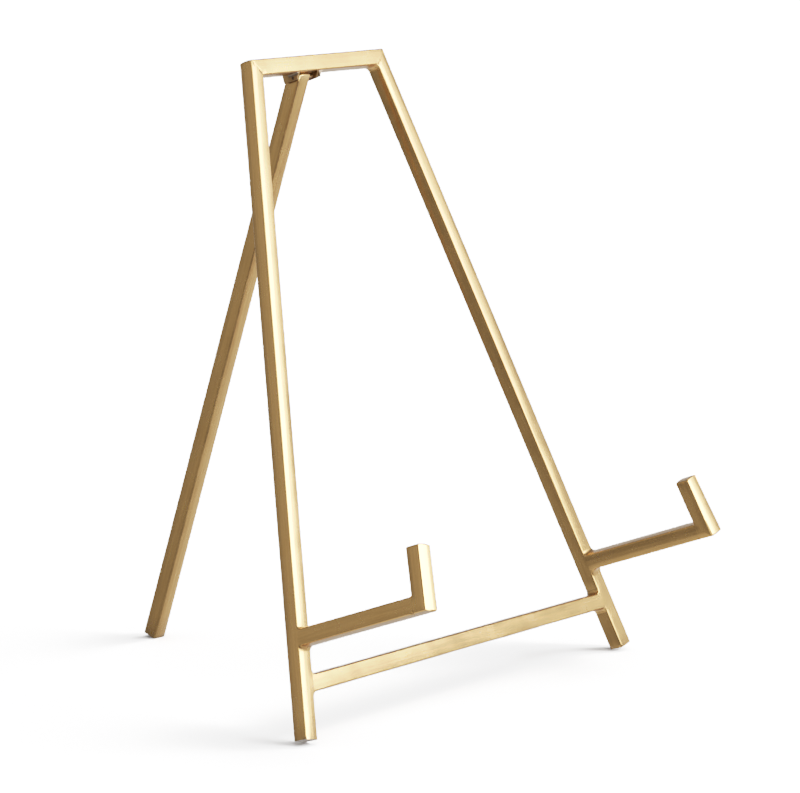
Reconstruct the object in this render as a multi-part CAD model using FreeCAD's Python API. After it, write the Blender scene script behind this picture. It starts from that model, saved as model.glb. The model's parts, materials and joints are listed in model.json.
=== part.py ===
"""Display easel of square brass bar: a brazed front frame with two ledge hooks,
and a rear leg that swings on a pin under the top crossbar.

The front frame is modelled lying flat, with X to the right, Y up the frame and its front
face at Z = 0, then leaned back on its feet.  Sizes are in millimetres and angles in
degrees.  The finished easel has +X to the right seen from the front, +Y to the back and
+Z up, with its origin on the floor, in the middle of the space that it covers.
"""
import FreeCAD, Part
import math
import os

Vector = FreeCAD.Vector

# ---------------------------------------------------------------- driving dimensions
bar = 7.15                     # side of the square bar
edge_round = 0.55              # radius that polishing leaves on the bars' edges

frame_height = 293.4           # up the slope, from the feet to the top of the top crossbar
foot_half_width = 115.1        # middle of the frame to the outer corner of a foot
top_half_width = 44.8          # middle of the frame to the end of the top crossbar
lean_back = 18.33              # the frame's lean from the vertical

lower_bar_centre = 21.95       # up the slope, from the feet to the middle of the lower crossbar

arm_start = 39.9               # up the leg, from its foot to the underside of the ledge arm
arm_reach = 74.4               # front of the leg to the front of the lip, along the underside
arm_rise = 1.95                # the arms tip up from square, so that a picture slides back
lip_height = 28.1              # underside of the arm to the top of the lip

hinge_offset = -9.9            # the rear leg stands this far to one side of the middle
pin_drop = 1.9                 # underside of the top crossbar to the middle of the hinge pin
pin_set_back = 4.45            # front of the frame to the middle of the hinge pin
pin_radius = 0.75
pin_clearance = 0.05           # running clearance of the rear leg on its pin
pin_end_bevel = 0.12

cheek_thickness = 1.1
cheek_gap = {"left": 1.2, "right": 3.6}  # from the rear leg to the inside of each cheek
cheek_drop = 3.1               # height of a cheek below the crossbar
cheek_front = 0.3              # front of the frame to the top front corner of a cheek
cheek_back = 10.2              # front of the frame to the back edge of a cheek
cheek_front_cut = 2.0          # how far the cheek's front edge slopes back at the bottom
cheek_corner = 0.7             # radius of the cheek's lower corners
cheek_rise = 4.0               # height of the part of a cheek that lies behind the crossbar

rear_leg_angle = 19.25         # the rear leg's lean from the vertical when it is open
pin_to_front_face = 1.63       # middle of the pin to the front face of the rear leg
head_gap = 0.15                # gap between the head of the rear leg and the crossbar

# radii of the braze fillets, on the left and the right of the frame
top_corner_braze = {"left": 1.4, "right": 2.9}
lower_bar_braze_above = {"left": 1.9, "right": 1.9}
lower_bar_braze_below = {"left": 3.2, "right": 2.9}
arm_braze_above = {"left": 1.5, "right": 2.2}
arm_braze_below = {"left": 2.4, "right": 4.2}
lip_braze = {"left": 1.0, "right": 1.0}
hinge_braze_width = {"left": 1.2, "right": 4.4}
hinge_braze_height = {"left": 1.2, "right": 3.0}
hinge_braze_inset = 0.5        # the hinge braze stops this far short of the crossbar's faces

# ---------------------------------------------------------------- worked out from these
lean = math.radians(lean_back)
splay = math.atan2(foot_half_width - top_half_width, frame_height)
top_underside = frame_height - bar
lower_bar_low = lower_bar_centre - bar / 2
lower_bar_high = lower_bar_centre + bar / 2
side_sign = {"left": -1, "right": 1}
overshoot = 5.0                # the boxes that divide the frame stand out past its free faces
sharp_angle = math.radians(10) # two faces that meet at more than this make an edge
head_length = 2 * bar          # no edge across the head of the rear leg is longer than this


# ---------------------------------------------------------------- outlines and solids
def rounded_wire(corners, place):
    """A closed wire through the corners (a, b, radius), with an arc at each rounded corner.

    place turns the two numbers of a corner into a point in space.
    """
    count = len(corners)
    arcs = []
    for i, (a, b, radius) in enumerate(corners):
        corner = place(a, b)
        if radius == 0:
            arcs.append((corner, None, corner))
            continue
        to_before = (place(*corners[i - 1][:2]) - corner).normalize()
        to_after = (place(*corners[(i + 1) % count][:2]) - corner).normalize()
        half = to_before.getAngle(to_after) / 2
        reach = radius / math.tan(half)
        bisector = (to_before + to_after).normalize()
        middle = corner + bisector * (radius / math.sin(half) - radius)
        arcs.append((corner + to_before * reach, middle, corner + to_after * reach))
    edges = []
    for i, (start, middle, end) in enumerate(arcs):
        if middle is not None:
            edges.append(Part.Arc(start, middle, end).toShape())
        following = arcs[(i + 1) % count][0]
        edges.append(Part.LineSegment(end, following).toShape())
    return Part.Wire(edges)


def sharp_wire(points, place):
    """A closed wire of straight edges through the points (a, b)."""
    return rounded_wire([(a, b, 0) for a, b in points], place)


def prism(wire, push):
    """A solid from a closed flat wire, pushed along a vector."""
    return Part.Face(wire).extrude(push)


def flat_place(x, y):
    """A point of the flat frame's front face."""
    return Vector(x, y, 0)


def is_worn(solid, edge):
    """True for an outer edge that polishing rounds: not across a foot's end, nor in a smooth run."""
    if max(vertex.Point.y for vertex in edge.Vertexes) < edge_round:
        return False
    middle = edge.valueAt((edge.FirstParameter + edge.LastParameter) / 2)
    normals = []
    for face in solid.ancestorsOfType(edge, Part.Face):
        normals.append(face.normalAt(*face.Surface.parameter(middle)))
    return normals[0].getAngle(normals[1]) > sharp_angle


def worn(solid):
    """The solid with its sharp edges rounded, except at the feet."""
    edges = [edge for edge in solid.Edges if is_worn(solid, edge)]
    return solid.makeFillet(edge_round, edges)


# ---------------------------------------------------------------- the front legs and crossbars
def along_leg(side, up, inward):
    """A point of a front leg in the flat frame: distance up the leg, and in from its outer face."""
    x = foot_half_width - up * math.sin(splay) - inward * math.cos(splay)
    y = up * math.cos(splay) - inward * math.sin(splay)
    return (side_sign[side] * x, y)


def leg_inner_point(side, height):
    """Where the inner face of a front leg crosses a given height up the flat frame."""
    up = (height + bar * math.sin(splay)) / math.cos(splay)
    return along_leg(side, up, bar)


def frame_solid():
    """The two legs and the two crossbars as one brazed shape, with its fillets."""
    outline = []
    window = []
    for side in side_sign:
        half_outline = [(side_sign[side] * top_half_width, frame_height, 0),
                        (*along_leg(side, 0, 0), 0),
                        (*along_leg(side, 0, bar), 0),
                        (*leg_inner_point(side, lower_bar_low), lower_bar_braze_below[side])]
        half_window = [(*leg_inner_point(side, top_underside), top_corner_braze[side]),
                       (*leg_inner_point(side, lower_bar_high), lower_bar_braze_above[side])]
        if side == "right":
            half_outline.reverse()
            half_window.reverse()
        outline += half_outline
        window += half_window
    depth = Vector(0, 0, -bar)
    return prism(rounded_wire(outline, flat_place), depth).cut(
        prism(rounded_wire(window, flat_place), depth))


def box_through(points):
    """A tall box over an outline of the flat frame, standing out of both its faces."""
    box = prism(sharp_wire(points, flat_place), Vector(0, 0, bar + 2 * overshoot))
    box.translate(Vector(0, 0, -bar - overshoot))
    return box


def mitre_points(side):
    """The top corner's mitre: its inner end, and a point as far outside the frame's outer corner."""
    inner = leg_inner_point(side, top_underside)
    outer = (side_sign[side] * top_half_width, frame_height)
    return inner, (2 * outer[0] - inner[0], 2 * outer[1] - inner[1])


def leg_region(side):
    """The space of one front leg, which ends at the top in a mitre and in front at its face."""
    inner, beyond = mitre_points(side)
    points = [beyond,
              along_leg(side, frame_height, -2 * overshoot),
              along_leg(side, -overshoot, -2 * overshoot),
              along_leg(side, -overshoot, bar),
              inner]
    return prism(sharp_wire(points, flat_place), Vector(0, 0, -bar - overshoot))


def top_crossbar_region():
    """The space of the top crossbar, between the two mitres."""
    left_inner, beyond_left = mitre_points("left")
    right_inner, beyond_right = mitre_points("right")
    return box_through([beyond_left, left_inner, right_inner, beyond_right])


def lower_crossbar_region():
    """The space of the lower crossbar, which butts against the legs' inner faces."""
    return box_through([leg_inner_point("left", lower_bar_low),
                        leg_inner_point("right", lower_bar_low),
                        leg_inner_point("right", lower_bar_high),
                        leg_inner_point("left", lower_bar_high)])


# ---------------------------------------------------------------- the ledge hooks
def side_place(side, inward=0.0):
    """The side view of a leg: a function that places (up the leg, forward)."""
    def place(up, forward):
        return Vector(*along_leg(side, up, inward), forward)
    return place


def inward_push(side, length):
    """The vector straight in from the outer face of a leg."""
    return side_place(side, length)(0, 0) - side_place(side)(0, 0)


def hook_points():
    """Corners of the hook in the side view of its leg, as (up the leg, forward)."""
    rise = math.radians(arm_rise)

    def point(reach, height):
        up = arm_start + reach * math.sin(rise) + height * math.cos(rise)
        forward = reach * math.cos(rise) - height * math.sin(rise)
        return (up, forward)

    return {"root_low": (arm_start, 0),
            "root_high": (arm_start + bar / math.cos(rise), 0),
            "arm_end_low": point(arm_reach - bar, 0),
            "arm_end_high": point(arm_reach - bar, bar),
            "toe": point(arm_reach, 0),
            "lip_top_front": point(arm_reach, lip_height),
            "lip_top_back": point(arm_reach - bar, lip_height)}


def hook_solid(side):
    """A ledge arm and its lip as one brazed shape, rooted in the leg."""
    p = hook_points()
    low = p["root_low"][0] - arm_braze_below[side] - bar / 2
    high = p["root_high"][0] + arm_braze_above[side] + bar / 2
    corners = [(low, -bar / 2, 0), (low, 0, 0), (*p["root_low"], arm_braze_below[side]),
               (*p["toe"], 0), (*p["lip_top_front"], 0), (*p["lip_top_back"], 0),
               (*p["arm_end_high"], lip_braze[side]), (*p["root_high"], arm_braze_above[side]),
               (high, 0, 0), (high, -bar / 2, 0)]
    return prism(rounded_wire(corners, side_place(side)), inward_push(side, bar))


def hook_region(side, names):
    """The space of a piece of a hook, between the named corners, wider than the bar."""
    p = hook_points()
    wire = sharp_wire([p[name] for name in names], side_place(side, -overshoot))
    return prism(wire, inward_push(side, bar + 2 * overshoot))


# ---------------------------------------------------------------- the brazed front frame
def brazed_frame():
    """The whole flat front frame with its hooks, as one shape with rounded edges."""
    hooks = [hook_solid(side) for side in side_sign]
    whole = frame_solid().fuse(hooks).removeSplitter()
    return worn(whole.Solids[0])


def frame_pieces():
    """The front frame divided into its bars, and the braze that is left over at each joint."""
    regions = {"top_crossbar": top_crossbar_region(),
               "lower_crossbar": lower_crossbar_region()}
    for side in side_sign:
        regions[side + "_front_leg"] = leg_region(side)
        regions[side + "_ledge_arm"] = hook_region(
            side, ["root_low", "arm_end_low", "arm_end_high", "root_high"])
        regions[side + "_ledge_lip"] = hook_region(
            side, ["arm_end_low", "toe", "lip_top_front", "lip_top_back"])
    whole = brazed_frame()
    pieces = {name: whole.common(region) for name, region in regions.items()}
    rest = whole
    for region in regions.values():
        rest = rest.cut(region)
    pieces.update(braze_groups(rest.Solids))
    return pieces


def braze_groups(solids):
    """The leftover fillets of braze, grouped by the joint that each one lies at."""
    p = hook_points()
    joints = {}
    for side in side_sign:
        place = side_place(side, bar / 2)
        joints[side + "_corner_braze"] = Vector(*leg_inner_point(side, top_underside), -bar / 2)
        joints[side + "_crossbar_braze"] = Vector(*leg_inner_point(side, lower_bar_centre), -bar / 2)
        joints[side + "_arm_braze"] = place(p["root_low"][0] + bar / 2, 0)
        joints[side + "_lip_braze"] = place(*p["arm_end_high"])
    groups = {name: [] for name in joints}
    for solid in solids:
        nearest = min(joints, key=lambda name: (joints[name] - solid.CenterOfMass).Length)
        groups[nearest].append(solid)
    return {name: Part.Compound(group) for name, group in groups.items()}


# ---------------------------------------------------------------- the hinge under the top crossbar
def hinge_place(x):
    """A function that places (behind the frame's front face, below the crossbar) at one X."""
    def place(behind, below):
        return Vector(x, top_underside - below, -behind)
    return place


def pin_cylinder(overhang=0):
    """A cylinder from outside to outside of the cheeks, longer by the overhang at each end."""
    length = bar + sum(cheek_gap.values()) + 2 * (cheek_thickness + overhang)
    left_end = hinge_offset - bar / 2 - cheek_gap["left"] - cheek_thickness - overhang
    start = hinge_place(left_end)(pin_set_back, pin_drop)
    return Part.makeCylinder(pin_radius, length, start, Vector(1, 0, 0))


def hinge_cheek(side):
    """One ear of the hinge: a plate that hangs below the crossbar and rises behind it."""
    sign = side_sign[side]
    inner_face = hinge_offset + sign * (bar / 2 + cheek_gap[side])
    corners = [(cheek_front, 0, 0),
               (cheek_front + cheek_front_cut, cheek_drop, cheek_corner),
               (cheek_back, cheek_drop, cheek_corner),
               (cheek_back, -cheek_rise, cheek_corner),
               (bar, -cheek_rise, 0),
               (bar, 0, 0)]
    plate = prism(rounded_wire(corners, hinge_place(inner_face)),
                  Vector(sign * cheek_thickness, 0, 0))
    return plate.cut(pin_cylinder(overshoot))


def hinge_braze_fillet(side):
    """The braze that spreads from the outside of a cheek over the crossbar's underside."""
    sign = side_sign[side]
    width = hinge_braze_width[side]
    height = hinge_braze_height[side]
    radius = (width ** 2 + height ** 2) / (2 * height)
    half_turn = math.asin(width / radius) / 2
    outer_face = hinge_offset + sign * (bar / 2 + cheek_gap[side] + cheek_thickness)
    corner = Vector(outer_face, top_underside, -hinge_braze_inset)
    out = corner + Vector(sign * width, 0, 0)
    down = corner - Vector(0, height, 0)
    middle = out + Vector(-sign * radius * math.sin(half_turn), radius * (math.cos(half_turn) - 1), 0)
    wire = Part.Wire([Part.LineSegment(corner, out).toShape(),
                      Part.Arc(out, middle, down).toShape(),
                      Part.LineSegment(down, corner).toShape()])
    return prism(wire, Vector(0, 0, 2 * hinge_braze_inset - bar))


def hinge_pin():
    """The pin, held in both cheeks, with its ends bevelled and flush with them."""
    pin = pin_cylinder()
    rims = [edge for edge in pin.Edges if edge.Closed]
    return pin.makeChamfer(pin_end_bevel, rims)


def hinge_pieces():
    """The cheeks, the braze outside them and the pin, in the flat frame."""
    pieces = {side + "_hinge_cheek": hinge_cheek(side) for side in side_sign}
    pieces["hinge_braze"] = Part.Compound([hinge_braze_fillet(side) for side in side_sign])
    pieces["hinge_pin"] = hinge_pin()
    return pieces


# ---------------------------------------------------------------- standing the frame up
def foot_lift():
    """How far the leaned frame is raised, so that the lowest points of its feet touch the floor."""
    inward_fall = math.sin(splay) * math.cos(lean)
    rearward_fall = math.sin(lean)
    square = (bar - edge_round) * (inward_fall + rearward_fall)
    return square + edge_round * math.hypot(inward_fall, rearward_fall)


def lean_placement():
    """Leans the flat frame back from lying down, and lifts it onto its feet."""
    turn = FreeCAD.Rotation(Vector(1, 0, 0), 90 - lean_back)
    return FreeCAD.Placement(Vector(0, 0, foot_lift()), turn)


def stood_up(flat_piece):
    """The same piece in the standing frame."""
    piece = flat_piece.copy()
    piece.Placement = lean_placement().multiply(piece.Placement)
    return piece


# ---------------------------------------------------------------- the rear leg
def rear_leg(pin_middle):
    """The rear leg, open: a square bar with a head shaped to turn under the crossbar."""
    angle = math.radians(rear_leg_angle)
    open_angle = angle + lean
    upward = Vector(0, -math.sin(angle), math.cos(angle))
    frontward = Vector(0, -math.cos(angle), -math.sin(angle))
    corner_x = Vector(-bar / 2, 0, 0)

    def place(front, up):
        return pin_middle + corner_x + frontward * front + upward * up

    front = pin_to_front_face
    rear = front - bar
    head_radius = pin_drop - head_gap
    foot = -(pin_middle.z - front * math.sin(angle)) / math.cos(angle)
    bevel_start = (-head_radius * math.sin(open_angle), head_radius * math.cos(open_angle))
    bevel_end = (rear, (head_radius + rear * math.sin(open_angle)) / math.cos(open_angle))
    half = math.pi / 2 + open_angle / 2
    arc_middle = (head_radius * math.cos(half), head_radius * math.sin(half))
    wire = Part.Wire([
        Part.LineSegment(place(front, foot), place(front, head_radius)).toShape(),
        Part.LineSegment(place(front, head_radius), place(0, head_radius)).toShape(),
        Part.Arc(place(0, head_radius), place(*arc_middle), place(*bevel_start)).toShape(),
        Part.LineSegment(place(*bevel_start), place(*bevel_end)).toShape(),
        Part.LineSegment(place(*bevel_end), place(rear, foot)).toShape(),
        Part.LineSegment(place(rear, foot), place(front, foot)).toShape()])
    return prism(wire, Vector(bar, 0, 0))


def worn_rear_leg(pin_middle):
    """The rear leg with its long edges rounded and its pin hole drilled."""
    leg = rear_leg(pin_middle)
    long_edges = [edge for edge in leg.Edges if edge.Length > head_length]
    leg = leg.makeFillet(edge_round, long_edges)
    hole = Part.makeCylinder(pin_radius + pin_clearance, bar + 2 * overshoot,
                             pin_middle - Vector(bar / 2 + overshoot, 0, 0), Vector(1, 0, 0))
    return leg.cut(hole)


# ---------------------------------------------------------------- the whole easel
def easel():
    """Every piece by name, in its place on the floor, and the middle of the hinge pin."""
    flat_pieces = frame_pieces()
    flat_pieces.update(hinge_pieces())
    pieces = {name: stood_up(piece) for name, piece in flat_pieces.items()}
    pin_middle = lean_placement().multVec(hinge_place(hinge_offset)(pin_set_back, pin_drop))
    pieces["rear_leg"] = worn_rear_leg(pin_middle)
    box = Part.Compound(list(pieces.values())).optimalBoundingBox(False)
    centring = Vector(0, -(box.YMin + box.YMax) / 2, 0)
    for piece in pieces.values():
        piece.translate(centring)
    return pieces, pin_middle + centring


def main():
    os.makedirs("parts", exist_ok=True)
    pieces, pin_middle = easel()
    for name, piece in pieces.items():
        print(f"{name}: {len(piece.Solids)} solid, {piece.Volume:.1f} mm3, valid {piece.isValid()}")
        piece.exportStep(f"parts/{name}.step")
    box = Part.Compound(list(pieces.values())).optimalBoundingBox(False)
    print("box", box)
    print("hinge pin middle", pin_middle)


main()
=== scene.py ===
"""Looks for the display easel: brushed, lacquered brass bars on a plain white studio floor."""
import bmesh
import bpy
import json
import math
from mathutils import Matrix, Vector, noise
from mathutils.bvhtree import BVHTree


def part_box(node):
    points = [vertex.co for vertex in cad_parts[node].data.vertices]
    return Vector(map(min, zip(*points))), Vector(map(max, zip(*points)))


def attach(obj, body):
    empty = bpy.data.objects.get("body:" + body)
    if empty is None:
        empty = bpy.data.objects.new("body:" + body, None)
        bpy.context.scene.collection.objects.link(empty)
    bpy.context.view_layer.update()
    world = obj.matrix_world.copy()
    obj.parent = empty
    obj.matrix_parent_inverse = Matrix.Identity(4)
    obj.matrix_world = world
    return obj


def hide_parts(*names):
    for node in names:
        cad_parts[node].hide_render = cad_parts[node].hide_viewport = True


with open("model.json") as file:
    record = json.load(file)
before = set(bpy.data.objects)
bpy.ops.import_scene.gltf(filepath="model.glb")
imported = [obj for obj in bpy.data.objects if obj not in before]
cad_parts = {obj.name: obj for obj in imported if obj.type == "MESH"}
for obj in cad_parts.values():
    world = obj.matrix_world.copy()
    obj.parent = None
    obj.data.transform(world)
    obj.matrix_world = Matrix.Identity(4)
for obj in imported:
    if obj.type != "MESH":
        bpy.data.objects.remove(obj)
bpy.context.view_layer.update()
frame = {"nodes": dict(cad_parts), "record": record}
record = frame["record"]

# ---------------------------------------------------------------- view of the object
camera_aim = Vector((0.0098, -0.0151, 0.1287))
camera_azimuth = math.radians(-49.88)
camera_elevation = math.radians(9.575)
camera_distance = 1.6215
camera_roll = -0.00227
camera_lens = 161.16
sensor_width = 36
nearest_seen = 0.05
furthest_seen = 100
# light in the scene and light shown: straight in the darks, with a long shoulder in the lights
tone_curve = ((0.33, 0.33), (0.55, 0.478), (0.975, 0.644), (1.9, 0.83), (3.3, 0.915), (4.3, 1))
brightest_light = 12

# ---------------------------------------------------------------- studio
# each sun's azimuth, elevation, strength and width; angles are in degrees here
suns = {"overhead": (-50, 76, 3.0, 60),
        "key": (-48, 38, 17.5, 46)}
room_level = 0.2
# azimuth, elevation, half width and brightness of each soft patch of the room
room_patches = ((-66, 42, 48, 1.6),
                (-112, 14, 42, 3.5),
                (-25, -25, 48, 0.62),
                (-15, -10, 48, 0.35),
                (40, -12, 50, 0.62),
                (150, 20, 50, 0.43),
                (143, -80, 55, 1.05))
floor_half = 12.0
floor_shade_reach = 0.2               # how far from the easel the soft shade painted on the floor reaches
floor_shade_samples = 12
floor_shade = (0.7, 1.0, 0.78, 0.92)  # openness in the shade and in the clear, and the white of each
backdrop_sides = 48
backdrop_radius = 11.5
backdrop_height = 30.0
backdrop_glow = 10.0

# ---------------------------------------------------------------- glowing card
card_half = 1.0
card_azimuth = -39
card_elevation = 14
card_target = Vector((0, -0.07, 0.13))
card_distance = 0.7
card_slant = 0.42                     # the bright bands lean by this much for each metre of height
corner_slant = 0.8
# each fade is two places, in metres from the card's middle, then the brightness at each
near_side = (-0.19, -0.085, 16.0, 0.0)
middle_across = (-0.054, 0.25, 1.0, 0.2)
middle_rise = (-0.03, 0.075, 1.9, 3.7)
middle_top = (0.35, 0.1, 0.4, 1.0)
low_dimming = (-0.17, -0.09, 0.4, 1.0)
top_dimming = (0.55, 0.19, 0.0, 1.0)
corner_dimming = (-0.12, -0.03, 0.0, 1.0)
low_glow_top = (-0.17, -0.11, 0.8, 0.0)
low_glow_side = (0.0, 0.06, 0.0, 1.0)
low_glow_bottom = (-0.32, -0.22, 0.0, 1.0)

# ---------------------------------------------------------------- brass
# colour, colour where it has darkened, roughness, share of darkened places
brass_looks = {"bar": ((0.60, 0.333, 0.108), (0.53, 0.280, 0.084), 0.25, 0.35),
               "braze": ((0.60, 0.333, 0.108), (0.50, 0.255, 0.074), 0.28, 0.6),
               "hinge": ((0.44, 0.25, 0.090), (0.30, 0.16, 0.055), 0.36, 0.9),
               "hinge_braze": ((0.19, 0.14, 0.095), (0.14, 0.10, 0.060), 0.45, 0.9),
               # the right cheek's colour carries painted shade: darkened to stand for the shadow in the
               # hinge's hollow
               "painted_shade_cheek": ((0.20, 0.11, 0.040), (0.11, 0.055, 0.02), 0.42, 0.9),
               "pin": ((0.12, 0.065, 0.024), (0.07, 0.035, 0.012), 0.45, 0.9)}
hinge_looks = {"left_hinge_cheek": "hinge",
               # the right cheek is darkened with painted shade
               "right_hinge_cheek": "painted_shade_cheek",
               "hinge_braze": "hinge_braze",
               "hinge_pin": "pin"}
worn_colour = (0.68, 0.45, 0.19)
# dark of dirt and pits, also used for the painted shade in the creases and on the feet
dirt_and_shade_colour = (0.13, 0.065, 0.02)
grain_lengths = (0.008, 0.00035, 0.00035)  # of the finest scratches: along the bar, then across it
streak_lengths = (0.03, 0.0012, 0.0012)
mottle_length = 0.012
pit_spacing = 0.004
pit_patch = 0.015
pit_size = 0.09                       # radius of a pit, as a share of the spacing
# creases are darkened by their openness: partly real dirt, partly painted shade
crease_reach = 0.003
crease_samples = 8
grain_height = 0.000002
streak_height = 0.00002
pit_depth = 0.00001
# two values of a noise or an openness, then the shade, share or stain at each
pit_places = (0.58, 0.66, 0.0, 1.0)
crease_dirt_and_shade_places = (0.75, 0.35, 0.0, 1.0)
rough_places = (0.35, 0.65, 0.0, 1.0)
stain_places = (0.5, 0.3, 0.0, 1.0)
streak_shades = (0.3, 0.7, 0.91, 1.05)
grain_shades = (0.25, 0.75, 0.95, 1.03)
foot_places = (0.012, 0.004, 0.0, 1.0)     # height above the floor where the painted shade on a foot begins and is full
foot_stains = (-0.5, -0.75, 0.3, 0.97)     # how far a face looks up, then the painted shade on sides and on ends
edge_wear = 0.5
crease_dirt_and_shade_strength = 0.75
pit_strength = 0.8
rough_change = 0.08                   # change of roughness with the streaks, and with the mottle
edge_polish = 0.05
dirt_roughness = 0.2
grain_anisotropy = 0.3
lacquer_weight = 0.5
lacquer_roughness = 0.4
lacquer_ior = 1.5

# ---------------------------------------------------------------- hand-ground surfaces
crown = 0.0003                        # usual height of a ground face's middle over the CAD's face
crown_variation = 0.5                 # share by which the crown's height varies along a bar
crown_length = 0.03
facet_width = 0.0026                  # the ground slope along each edge of a face
facet_roundness = 1.25
level_edge_share = 0.7                # share of the bulge that is left at the crossbars' long edges
waviness = 0.00006
wave_length = 0.018
lip_tilt = 0.09
length_step = 0.003                   # from one cut across a bar to the next
cross_steps = (0.0004, 0.0014, 0.0023, 0.0029)  # from a bar's sides to the cuts along it
braze_step = 0.0007
seam_cuts = 16                        # parts that a mitre or the root of a lip is cut into
mitre_reach = 1.3                     # width of the mitred corner, in bars
touching = 0.00002                    # faces nearer than this lie against each other
same_place = 1e-7
no_length = 1e-12
against = -0.9                        # two faces meet flat if their normals' cosine is under this
square_enough = 0.1                   # two directions are square if their cosine is under this
facing_enough = 0.9                   # a face looks in a direction if their cosine is over this
sideways = 0.5                        # the legs' sides face sideways by more, the crossbars' tops by less
flat_angle = math.radians(0.3)
worn_angle = math.radians(20)
sharp_angle = math.radians(40)
normal_weight = 80
hook_parts = ("_ledge_arm", "_ledge_lip", "_arm_braze", "_lip_braze")
# left out of reflections, where they would stain the right arm
not_reflected = {"lower_crossbar", "left_crossbar_braze", "right_crossbar_braze"}


# ---------------------------------------------------------------- nodes
class Nodes:
    """Short ways to add and join the nodes of one tree."""

    def __init__(self, tree):
        self.tree = tree

    def add(self, kind, inputs=None, **settings):
        node = self.tree.nodes.new("ShaderNode" + kind)
        for key, value in settings.items():
            setattr(node, key, value)
        for socket, value in (inputs or {}).items():
            self.put(node.inputs[socket], value)
        return node

    def put(self, socket, value):
        """Joins another node's output to a socket, or sets the socket's own value."""
        if isinstance(value, bpy.types.NodeSocket):
            self.tree.links.new(value, socket)
        else:
            socket.default_value = value

    def math(self, operation, a, b=0.0, clamp=False):
        return self.add("Math", {0: a, 1: b}, operation=operation, use_clamp=clamp).outputs[0]

    def product(self, *factors):
        total = factors[0]
        for factor in factors[1:]:
            total = self.math("MULTIPLY", total, factor)
        return total

    def dot(self, place, direction_vector):
        inputs = {0: place, 1: direction_vector}
        return self.add("VectorMath", inputs, operation="DOT_PRODUCT").outputs["Value"]

    def noise(self, vector, scale=1.0, detail=2.0):
        inputs = {"Vector": vector, "Scale": scale, "Detail": detail}
        return self.add("TexNoise", inputs).outputs[0]

    def spread(self, value, low, high, to_low=0.0, to_high=1.0, smooth=False):
        inputs = {"Value": value, "From Min": low, "From Max": high, "To Min": to_low, "To Max": to_high}
        kind = "SMOOTHSTEP" if smooth else "LINEAR"
        return self.add("MapRange", inputs, interpolation_type=kind).outputs[0]

    def grey(self, value):
        return self.add("CombineColor", {0: value, 1: value, 2: value}).outputs[0]

    def mix(self, factor, a, b, blend="MIX"):
        node = self.add("Mix", data_type="RGBA", blend_type=blend)
        self.put(node.inputs["Factor"], factor)
        self.put(node.inputs[6], a)
        self.put(node.inputs[7], b)
        return node.outputs[2]


def new_material(name):
    """A material, and its nodes."""
    material = bpy.data.materials.new(name)
    material.use_nodes = True
    return material, Nodes(material.node_tree)


def show(nodes, surface):
    """Makes this shader's output the whole look of a material."""
    nodes.put(nodes.tree.nodes["Material Output"].inputs["Surface"], surface)


# ---------------------------------------------------------------- camera
def direction(azimuth, elevation):
    """A unit vector, with azimuth from +X towards +Y and elevation above the floor, in degrees."""
    a = math.radians(azimuth)
    e = math.radians(elevation)
    return Vector((math.cos(a) * math.cos(e), math.sin(a) * math.cos(e), math.sin(e)))


def make_camera():
    data = bpy.data.cameras.new("camera")
    data.lens = camera_lens
    data.sensor_width = sensor_width
    data.clip_start = nearest_seen
    data.clip_end = furthest_seen
    camera = bpy.data.objects.new("camera", data)
    back = Vector((math.sin(camera_azimuth) * math.cos(camera_elevation),
                   -math.cos(camera_azimuth) * math.cos(camera_elevation),
                   math.sin(camera_elevation)))
    camera.location = camera_aim + back * camera_distance
    turn = (-back).to_track_quat("-Z", "Y").to_matrix() @ Matrix.Rotation(camera_roll, 3, "Z")
    camera.rotation_euler = turn.to_euler()
    bpy.context.scene.collection.objects.link(camera)
    bpy.context.scene.camera = camera


def set_tone_curve():
    """The camera's response to light."""
    settings = bpy.context.scene.view_settings
    settings.view_transform = "Standard"
    settings.use_curve_mapping = True
    mapping = settings.curve_mapping
    mapping.clip_max_x = brightest_light
    mapping.clip_max_y = 1.0
    curve = mapping.curves[3]
    curve.points[0].location = (0, 0)
    curve.points[1].location = (brightest_light, 1)
    for light, shown in tone_curve:
        curve.points.new(light, shown)
    mapping.update()


# ---------------------------------------------------------------- lights and room
def add_sun(name, azimuth, elevation, strength, width):
    """A soft light far away, which lights the whole floor evenly and isn't reflected."""
    data = bpy.data.lights.new(name, "SUN")
    data.energy = strength
    data.angle = math.radians(width)
    light = bpy.data.objects.new(name, data)
    light.visible_glossy = False
    light.rotation_euler = direction(azimuth, elevation).to_track_quat("Z", "Y").to_euler()
    bpy.context.scene.collection.objects.link(light)


def make_room():
    """The world: a dim level, and broad soft patches that the metal reflects."""
    world = bpy.data.worlds.new("studio")
    bpy.context.scene.world = world
    world.use_nodes = True
    world.cycles.sampling_method = "NONE"
    world.node_tree.nodes.clear()
    nodes = Nodes(world.node_tree)
    looking = nodes.add("TexCoord").outputs["Generated"]
    total = room_level
    for azimuth, elevation, half_width, brightness in room_patches:
        nearness = nodes.dot(looking, direction(azimuth, elevation))
        edge = math.cos(math.radians(half_width))
        total = nodes.math("ADD", total, nodes.spread(nearness, edge, 1, 0, brightness, smooth=True))
    background = nodes.add("Background", {"Color": total})
    nodes.add("OutputWorld", {"Surface": background.outputs[0]})


def stage_object(name, mesh, material):
    """An object that belongs to the studio."""
    thing = bpy.data.objects.new(name, mesh)
    mesh.materials.append(material)
    bpy.context.scene.collection.objects.link(thing)
    return thing


def square_mesh(name, half):
    """A flat square round the origin."""
    corners = [(-half, -half, 0), (half, -half, 0), (half, half, 0), (-half, half, 0)]
    mesh = bpy.data.meshes.new(name)
    mesh.from_pydata(corners, [], [(0, 1, 2, 3)])
    return mesh


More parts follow.
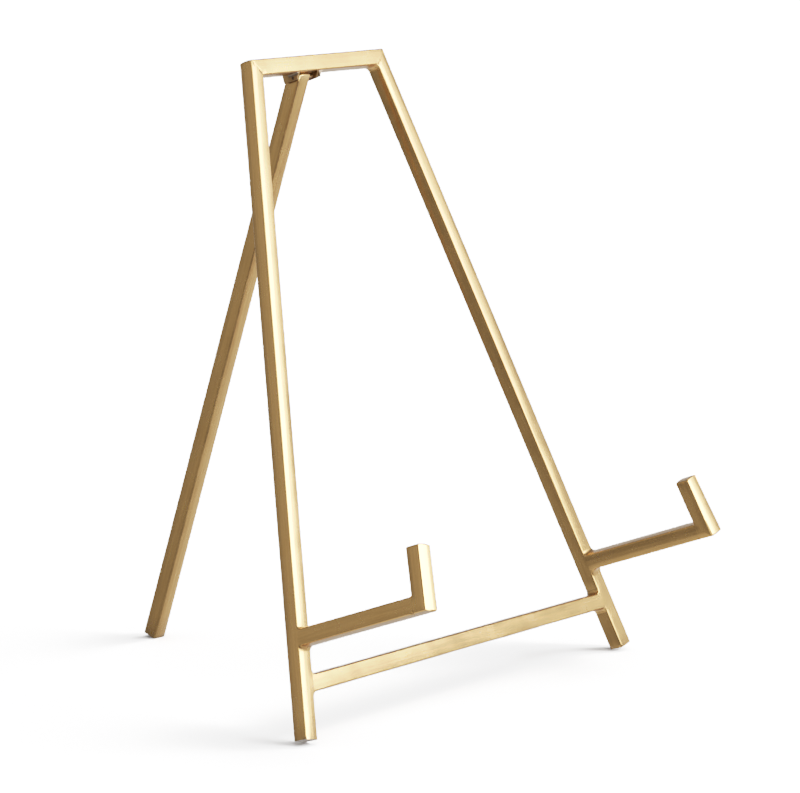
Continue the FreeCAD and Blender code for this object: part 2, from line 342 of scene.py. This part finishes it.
def card_glow(nodes):
    """The card's brightness from place to place; across counts away from the camera."""
    place = nodes.add("SeparateXYZ", {0: nodes.add("TexCoord").outputs["Object"]}).outputs
    across, up = place["X"], place["Y"]
    slanted = nodes.math("SUBTRACT", across, nodes.product(up, card_slant))
    middle = nodes.product(nodes.spread(slanted, *middle_across), nodes.spread(up, *middle_rise),
                           nodes.spread(up, *middle_top))
    both = nodes.math("ADD", middle, nodes.spread(slanted, *near_side))
    corner = nodes.math("SUBTRACT", up, nodes.product(across, corner_slant))
    glow = nodes.product(both, nodes.spread(up, *low_dimming),
                         nodes.spread(corner, *corner_dimming, smooth=True),
                         nodes.spread(up, *top_dimming))
    low_glow = nodes.product(nodes.spread(up, *low_glow_top), nodes.spread(across, *low_glow_side),
                             nodes.spread(up, *low_glow_bottom))
    return nodes.math("ADD", glow, low_glow)


def make_card():
    """A large glowing card at the front right of the easel, which only the metal reflects.

    It is brightest on the side nearest the camera.  Its low far corner is cut off, apart from a
    faint glow, so that the lower right of the frame reflects the dim room through it.
    """
    facing = direction(card_azimuth, card_elevation)
    level = Vector((0, 0, 1)).cross(facing).normalized()
    turn = Matrix((level, facing.cross(level), facing)).transposed()
    material, nodes = new_material("card")
    emission = nodes.add("Emission", {"Strength": card_glow(nodes)}).outputs[0]
    room = nodes.add("BsdfTransparent").outputs[0]
    show(nodes, nodes.add("AddShader", {0: emission, 1: room}).outputs[0])
    card = stage_object("card", square_mesh("card", card_half), material)
    card.matrix_world = Matrix.Translation(card_target + facing * card_distance) @ turn.to_4x4()
    card.visible_camera = False
    card.visible_diffuse = False
    card.visible_shadow = False


def make_floor():
    """A matt white floor with shade painted in its colour, darker close to the easel, that the metal
    doesn't reflect.
    """
    material, nodes = new_material("floor")
    shader = nodes.tree.nodes["Principled BSDF"]
    inputs = {"Distance": floor_shade_reach}
    openness = nodes.add("AmbientOcclusion", inputs, samples=floor_shade_samples).outputs["AO"]
    # painted shade: the floor's white darkens where it is less open
    nodes.put(shader.inputs["Base Color"], nodes.grey(nodes.spread(openness, *floor_shade)))
    shader.inputs["Roughness"].default_value = 1
    shader.inputs["Specular IOR Level"].default_value = 0
    floor = stage_object("floor", square_mesh("floor", floor_half), material)
    floor.visible_glossy = False


def make_backdrop():
    """A white drum round the floor, which only the camera sees."""
    turns = [2 * math.pi * i / backdrop_sides for i in range(backdrop_sides)]
    ring = [(backdrop_radius * math.cos(turn), backdrop_radius * math.sin(turn)) for turn in turns]
    vertices = [(x, y, z) for z in (-backdrop_height, backdrop_height) for x, y in ring]
    faces = []
    for i in range(backdrop_sides):
        following = (i + 1) % backdrop_sides
        faces.append((i, following, backdrop_sides + following, backdrop_sides + i))
    faces.append(tuple(range(backdrop_sides, 2 * backdrop_sides)))
    mesh = bpy.data.meshes.new("backdrop")
    mesh.from_pydata(vertices, [], faces)
    material, nodes = new_material("backdrop")
    show(nodes, nodes.add("Emission", {"Strength": backdrop_glow}).outputs[0])
    backdrop = stage_object("backdrop", mesh, material)
    backdrop.visible_diffuse = False
    backdrop.visible_glossy = False
    backdrop.visible_shadow = False
    backdrop.visible_transmission = False


# ---------------------------------------------------------------- brass material
def counted_along(nodes, place, directions, lengths):
    """Coordinates counted in these lengths along the three directions."""
    parts = {}
    for i, (along, length) in enumerate(zip(directions, lengths)):
        parts[i] = nodes.dot(place, along / length)
    return nodes.add("CombineXYZ", parts).outputs[0]


def foot_stain(nodes, place):
    """Painted shade on a foot: slight on its sides, and strong on the end that faces the floor."""
    height = nodes.add("SeparateXYZ", {0: place}).outputs["Z"]
    facing_up = nodes.add("SeparateXYZ", {0: nodes.add("TexCoord").outputs["Normal"]}).outputs["Z"]
    return nodes.product(nodes.spread(facing_up, *foot_stains), nodes.spread(height, *foot_places))


def brass_marks(nodes, directions):
    """What use, grinding and heat have left on the brass, with painted shade in the creases and on the
    feet, each as a number over the surface.
    """
    place = nodes.add("TexCoord").outputs["Object"]
    dots = nodes.add("TexVoronoi", {"Vector": place, "Scale": 1 / pit_spacing}).outputs["Distance"]
    pitted = nodes.spread(nodes.noise(place, 1 / pit_patch, 1), *pit_places)
    # darkening in the creases by their openness: partly real dirt, partly painted shade
    inputs = {"Distance": crease_reach}
    openness = nodes.add("AmbientOcclusion", inputs, samples=crease_samples).outputs["AO"]
    return {"grain": nodes.noise(counted_along(nodes, place, directions, grain_lengths), detail=3),
            "streaks": nodes.noise(counted_along(nodes, place, directions, streak_lengths), detail=2),
            "mottle": nodes.noise(place, 1 / mottle_length, 4),
            "pits": nodes.math("MULTIPLY", nodes.spread(dots, pit_size, pit_size * 0.5), pitted, True),
            "edge": nodes.add("Attribute", attribute_name="edge").outputs["Fac"],
            "dirt_and_shade": nodes.spread(openness, *crease_dirt_and_shade_places),
            "foot": foot_stain(nodes, place)}


def brass_colour(nodes, marks, colour, patina, patina_share):
    """Brass with darkened places, light and dark streaks, worn edges, dirt and painted shade in the
    creases, pits, and painted shade on the feet.
    """
    stain = nodes.math("MULTIPLY", nodes.spread(marks["mottle"], *stain_places), patina_share, True)
    shade = nodes.product(nodes.spread(marks["streaks"], *streak_shades),
                          nodes.spread(marks["grain"], *grain_shades))
    dirt_and_shade = (*dirt_and_shade_colour, 1)
    base = nodes.mix(stain, (*colour, 1), (*patina, 1))
    base = nodes.mix(1.0, base, nodes.grey(shade), "MULTIPLY")
    base = nodes.mix(nodes.product(marks["edge"], edge_wear), base, (*worn_colour, 1))
    # darkens the creases: partly real dirt, partly painted shade
    base = nodes.mix(nodes.product(marks["dirt_and_shade"], crease_dirt_and_shade_strength), base, dirt_and_shade)
    base = nodes.mix(nodes.product(marks["pits"], pit_strength), base, dirt_and_shade)
    # painted shade on the feet, darkest on their ends that face the floor
    return nodes.mix(marks["foot"], base, dirt_and_shade)


def brass_roughness(nodes, marks, roughness):
    """Rougher in the streaks, in lighter places and in dirt, and smoother on worn edges."""
    light_places = nodes.spread(marks["mottle"], *rough_places)
    rough = nodes.math("ADD", roughness - rough_change, nodes.product(marks["streaks"], rough_change))
    rough = nodes.math("ADD", rough, nodes.product(light_places, rough_change))
    rough = nodes.math("SUBTRACT", rough, nodes.product(marks["edge"], edge_polish))
    return nodes.math("ADD", rough, nodes.product(marks["dirt_and_shade"], dirt_roughness), True)


def brass_relief(nodes, marks):
    """The normal of a surface with scratches, streaks and pits."""
    height = nodes.math("ADD", nodes.product(marks["grain"], grain_height),
                        nodes.product(marks["streaks"], streak_height))
    height = nodes.math("SUBTRACT", height, nodes.product(marks["pits"], pit_depth))
    return nodes.add("Bump", {"Height": height, "Distance": 1.0, "Strength": 1.0}).outputs[0]


def brass_material(node, look):
    """Brushed and lacquered brass for a piece, with its grain along the piece."""
    colour, patina, roughness, patina_share = brass_looks[look]
    directions = directions_of(node)
    material, nodes = new_material("brass_" + node)
    marks = brass_marks(nodes, directions)
    tangent = nodes.add("VectorTransform", {0: directions[0]}, vector_type="VECTOR",
                        convert_from="OBJECT", convert_to="WORLD")
    values = {"Base Color": brass_colour(nodes, marks, colour, patina, patina_share),
              "Roughness": brass_roughness(nodes, marks, roughness),
              "Normal": brass_relief(nodes, marks),
              "Tangent": tangent.outputs[0],
              "Metallic": 1,
              "Anisotropic": grain_anisotropy,
              "Coat Weight": lacquer_weight,
              "Coat Roughness": lacquer_roughness,
              "Coat IOR": lacquer_ior}
    shader = nodes.tree.nodes["Principled BSDF"]
    for socket, value in values.items():
        nodes.put(shader.inputs[socket], value)
    return material


# ---------------------------------------------------------------- the easel's directions
mounts = {mount["name"]: mount for mount in record["mounts"]}
node_body = {node: body for body, nodes in record["behaviour"]["bodies"].items() for node in nodes}
rear_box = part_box("rear_leg")
bar = rear_box[1].x - rear_box[0].x
half_bar = bar / 2
across_frame = Vector((1, 0, 0))
frame_front = Vector(mounts["left_leg_front"]["axis"])
front_plane = frame_front.dot(Vector(mounts["left_leg_front"]["pos_m"]))
sides = ("left", "right")


def span_along(node, along):
    """The lowest and highest place of a node's mesh along a direction."""
    places = [vertex.co.dot(along) for vertex in frame["nodes"][node].data.vertices]
    return min(places), max(places)


def longest_edge(node):
    """The direction of a node's longest edge, pointing up if it isn't level."""
    mesh = frame["nodes"][node].data
    edges = [mesh.vertices[e.vertices[0]].co - mesh.vertices[e.vertices[1]].co for e in mesh.edges]
    along = max(edges, key=lambda edge: edge.length).normalized()
    return along if along.z >= 0 else -along


leg_axis = {side: longest_edge(side + "_front_leg") for side in sides}
leg_inward = {"left": leg_axis["left"].cross(frame_front).normalized(),
              "right": frame_front.cross(leg_axis["right"]).normalized()}
leg_outer_plane = {side: span_along(side + "_front_leg", leg_inward[side])[0] for side in sides}


def side_of(node):
    return node.split("_")[0]


def directions_of(node):
    """A piece's own directions: along its grain, then two across it."""
    if node.endswith("front_leg"):
        return leg_axis[side_of(node)], leg_inward[side_of(node)], frame_front
    if node.endswith(("ledge_arm", "ledge_lip")):
        along = longest_edge(node)
        inward = leg_inward[side_of(node)]
        return along, inward, along.cross(inward).normalized()
    if node.endswith(("arm_braze", "lip_braze")):
        return leg_axis[side_of(node)], leg_inward[side_of(node)], frame_front
    if node == "rear_leg":
        along = longest_edge(node)
        return along, across_frame, along.cross(across_frame).normalized()
    return across_frame, frame_front, across_frame.cross(frame_front).normalized()


# ---------------------------------------------------------------- cutting the shapes finely
def cut_offsets(low, high, step=None):
    """Where to cut between low and high: evenly, or near both sides and at the middle."""
    if step:
        count = int((high - low) / step)
        return [low + (i + 0.5) * step for i in range(count)]
    near = [low + s for s in cross_steps] + [high - s for s in cross_steps]
    return [c for c in near if low < c < high] + [(low + high) / 2]


def cut(bm, along, offset):
    """Cuts every face of a shape with the plane across a direction at an offset."""
    geometry = bm.verts[:] + bm.edges[:] + bm.faces[:]
    bmesh.ops.bisect_plane(bm, geom=geometry, dist=same_place, plane_co=along * offset, plane_no=along)


def cut_near_mitres(bm):
    """Cuts the legs' tops and the crossbar's ends in the same places, so that their surfaces meet."""
    low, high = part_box("top_crossbar")
    for i in range(1, seam_cuts):
        inward = bar * mitre_reach * i / seam_cuts
        cut(bm, across_frame, low.x + inward)
        cut(bm, across_frame, high.x - inward)


def cut_near_lip(bm, side):
    """Cuts an arm and its lip in the same places, for the same reason."""
    up = directions_of(side + "_ledge_arm")[2]
    low, high = span_along(side + "_ledge_arm", up)
    for i in range(1, seam_cuts):
        cut(bm, up, low + (high - low) * i / seam_cuts)


def refined(node):
    """The piece's own shape with its flat faces cut into a fine grid."""
    bm = bmesh.new()
    bm.from_mesh(frame["nodes"][node].data)
    bmesh.ops.remove_doubles(bm, verts=bm.verts, dist=same_place)
    bmesh.ops.dissolve_limit(bm, angle_limit=flat_angle, verts=bm.verts, edges=bm.edges)
    steps = (braze_step,) * 3 if node.endswith("braze") else (length_step, None, None)
    for along, step in zip(directions_of(node), steps):
        places = [v.co.dot(along) for v in bm.verts]
        for offset in cut_offsets(min(places), max(places), step):
            cut(bm, along, offset)
    if node.endswith(("ledge_arm", "ledge_lip")):
        cut_near_lip(bm, side_of(node))
    if node == "top_crossbar" or node.endswith(("front_leg", "corner_braze")):
        cut_near_mitres(bm)
    bm.normal_update()
    bm.verts.ensure_lookup_table()
    bm.faces.ensure_lookup_table()
    return bm


# ---------------------------------------------------------------- outer faces and walls
def lies_against(face, trees):
    """True for a face that lies against one of the other pieces."""
    centre = face.calc_center_median()
    for tree in trees:
        place, normal = tree.find_nearest(centre, touching)[:2]
        if place is not None and normal.dot(face.normal) < against:
            return True
    return False


def outer_faces(node, shapes, trees):
    """The indices of a piece's faces that don't lie against another piece."""
    others = [tree for other, tree in trees.items() if other != node]
    return {face.index for face in shapes[node].faces if not lies_against(face, others)}


def tree_of(shapes, wanted):
    """A search tree of the outer faces of some shapes whose normals are wanted."""
    points = []
    polygons = []
    for bm, outer in shapes:
        base = len(points)
        points += [v.co.copy() for v in bm.verts]
        polygons += [[base + v.index for v in face.verts] for face in bm.faces
                     if face.index in outer and wanted(face.normal)]
    return BVHTree.FromPolygons(points, polygons)


def is_square_to(normal, along):
    return abs(normal.dot(along)) < square_enough


def is_upright_wall(normal):
    """True for the sides of the frame's legs."""
    return is_square_to(normal, frame_front) and abs(normal.x) > sideways


def is_level_wall(normal):
    """True for the tops and undersides of the frame's crossbars."""
    return is_square_to(normal, frame_front) and abs(normal.x) < sideways


def frame_thickness(point):
    """How far a point is from the nearer of the frame's front and back, and the shift to mid-way."""
    behind = front_plane - point.dot(frame_front)
    return min(behind, bar - behind), frame_front * (behind - half_bar)


def hook_thickness(side):
    """The same across a ledge hook, from the outer face of its leg, as a function of a point."""
    def thickness(point):
        inward = point.dot(leg_inward[side]) - leg_outer_plane[side]
        return min(inward, bar - inward), leg_inward[side] * (half_bar - inward)
    return thickness


def rear_leg_thickness(point):
    """The same across the rear leg."""
    inward = point.x - rear_box[0].x
    return min(inward, bar - inward), across_frame * (half_bar - inward)


# ---------------------------------------------------------------- hand-ground surfaces
def lift(distance, place, edge_share=0.0):
    """How far a face bulges at a distance from its edge; the hand grinding varies along a bar."""
    height = crown * (1 + crown_variation * noise.noise(place / crown_length))
    slope = max(0.0, 1 - distance / facet_width) ** facet_roundness
    return height * (1 - slope * (1 - edge_share))


def lift_between(walls, middle, place):
    """The bulge of a face whose edges are the tops of some walls, each with its own share at the edge."""
    return min(lift(tree.find_nearest(middle)[3], place, edge_share) for tree, edge_share in walls)


def wave(place):
    """A slight waviness, always outwards."""
    return waviness * (0.5 + 0.5 * noise.noise(place / wave_length))


def outer_normals(bm, outer):
    """Each vertex on a piece's outer faces, with their mean normal there."""
    found = []
    for vertex in bm.verts:
        normal = Vector((0, 0, 0))
        for face in vertex.link_faces:
            if face.index in outer:
                normal += face.normal * face.calc_area()
        if normal.length >= no_length:
            found.append((vertex, normal.normalized()))
    return found


def grind(bm, outer, extruded, walls, thickness_at):
    """Gives a piece's outer surface its bulge and its slight waves.

    extruded is the direction that the shape is a prism along, walls are trees of the faces round
    the prism, and thickness_at says how far a point is from the nearer end of the prism and the
    shift to the middle of its thickness.
    """
    for vertex, normal in outer_normals(bm, outer):
        place = vertex.co.copy()
        depth, to_middle = thickness_at(place)
        facing = normal.dot(extruded)
        level = normal - extruded * facing
        end_share = facing * facing
        rise = lift_between(walls, place + to_middle, place) * end_share
        vertex.co += extruded * math.copysign(rise, facing) + normal * wave(place)
        if level.length > no_length:
            vertex.co += level.normalized() * lift(depth, place) * (1 - end_share)


def grind_front_leg(bm, outer, side, frame_walls, hook_walls):
    """A front leg belongs to the flat frame and to its hook, so both sets of walls count."""
    parts = ((frame_front, frame_walls, frame_thickness),
             (leg_inward[side], hook_walls, hook_thickness(side)))
    for vertex, normal in outer_normals(bm, outer):
        place = vertex.co.copy()
        vertex.co += normal * wave(place)
        for outwards, walls, thickness_at in parts:
            facing = normal.dot(outwards)
            to_middle = thickness_at(place)[1]
            rise = lift_between(walls, place + to_middle, place) * facing * facing
            vertex.co += outwards * math.copysign(rise, facing)


def tilt_front(bm, outer):
    """Turns the front face of a lip a little to the left, as its hand grinding left it."""
    fronts = set()
    for face in bm.faces:
        if face.index in outer and face.normal.dot(frame_front) > facing_enough:
            fronts.update(face.verts)
    rightwards = leg_inward["left"]
    places = [vertex.co.dot(rightwards) for vertex in fronts]
    middle = (min(places) + max(places)) / 2
    for vertex in fronts:
        vertex.co += frame_front * (vertex.co.dot(rightwards) - middle) * lip_tilt


# ---------------------------------------------------------------- pieces
def mark_edges(bm, outer):
    """Marks the vertices on the sharp outer edges, which wear smooth and bright."""
    layer = bm.verts.layers.float.new("edge")
    for edge in bm.edges:
        faces = [face for face in edge.link_faces if face.index in outer]
        if len(faces) == 2 and edge.is_convex and edge.calc_face_angle() > worn_angle:
            for vertex in edge.verts:
                vertex[layer] = 1.0


def ground_piece(node, bm, outer):
    """A new visible piece in place of a CAD node."""
    mark_edges(bm, outer)
    mesh = bpy.data.meshes.new(node + "_ground")
    bm.to_mesh(mesh)
    mesh.shade_smooth()
    mesh.set_sharp_from_angle(angle=sharp_angle)
    piece = bpy.data.objects.new(node + "_ground", mesh)
    bpy.context.scene.collection.objects.link(piece)
    weighted = piece.modifiers.new("weighted", "WEIGHTED_NORMAL")
    weighted.keep_sharp = True
    weighted.weight = normal_weight
    piece.visible_glossy = node not in not_reflected
    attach(piece, node_body[node])
    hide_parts(node)
    mesh.materials.append(brass_material(node, "braze" if node.endswith("braze") else "bar"))


def grind_frame():
    """Every piece of the front frame, ground as one brazed shape."""
    flat_names = ["top_crossbar", "lower_crossbar"]
    for side in sides:
        flat_names += [side + "_corner_braze", side + "_crossbar_braze"]
    leg_names = [side + "_front_leg" for side in sides]
    hook_names = [side + part for side in sides for part in hook_parts]
    names = flat_names + leg_names + hook_names
    shapes = {name: refined(name) for name in names}
    trees = {name: BVHTree.FromBMesh(bm) for name, bm in shapes.items()}
    outer = {name: outer_faces(name, shapes, trees) for name in names}

    flat_shapes = [(shapes[name], outer[name]) for name in flat_names + leg_names]
    frame_walls = [(tree_of(flat_shapes, is_upright_wall), 0.0),
                   (tree_of(flat_shapes, is_level_wall), level_edge_share)]
    hook_walls = {}
    for side in sides:
        hook_shapes = [(shapes[side + part], outer[side + part]) for part in hook_parts + ("_front_leg",)]
        inward = leg_inward[side]
        hook_walls[side] = [(tree_of(hook_shapes, lambda normal: is_square_to(normal, inward)), 0.0)]

    for name in flat_names:
        grind(shapes[name], outer[name], frame_front, frame_walls, frame_thickness)
    for side in sides:
        lip = side + "_ledge_lip"
        tilt_front(shapes[lip], outer[lip])
        for part in hook_parts:
            name = side + part
            grind(shapes[name], outer[name], leg_inward[side], hook_walls[side], hook_thickness(side))
        leg = side + "_front_leg"
        grind_front_leg(shapes[leg], outer[leg], side, frame_walls, hook_walls[side])
    for name, bm in shapes.items():
        ground_piece(name, bm, outer[name])


def grind_rear_leg():
    """The rear leg, whose own sides are its walls."""
    bm = refined("rear_leg")
    outer = {face.index for face in bm.faces}
    walls = [(tree_of([(bm, outer)], lambda normal: is_square_to(normal, across_frame)), 0.0)]
    grind(bm, outer, across_frame, walls, rear_leg_thickness)
    ground_piece("rear_leg", bm, outer)


def dress_hinge():
    """The hinge's CAD nodes keep their shapes and get their own brass."""
    for name, look in hinge_looks.items():
        material = brass_material(name, look)
        for slot in frame["nodes"][name].material_slots:
            slot.material = material


make_camera()
make_room()
for sun_name, sun_values in suns.items():
    add_sun(sun_name, *sun_values)
make_card()
make_floor()
make_backdrop()
grind_frame()
grind_rear_leg()
dress_hinge()
set_tone_curve()
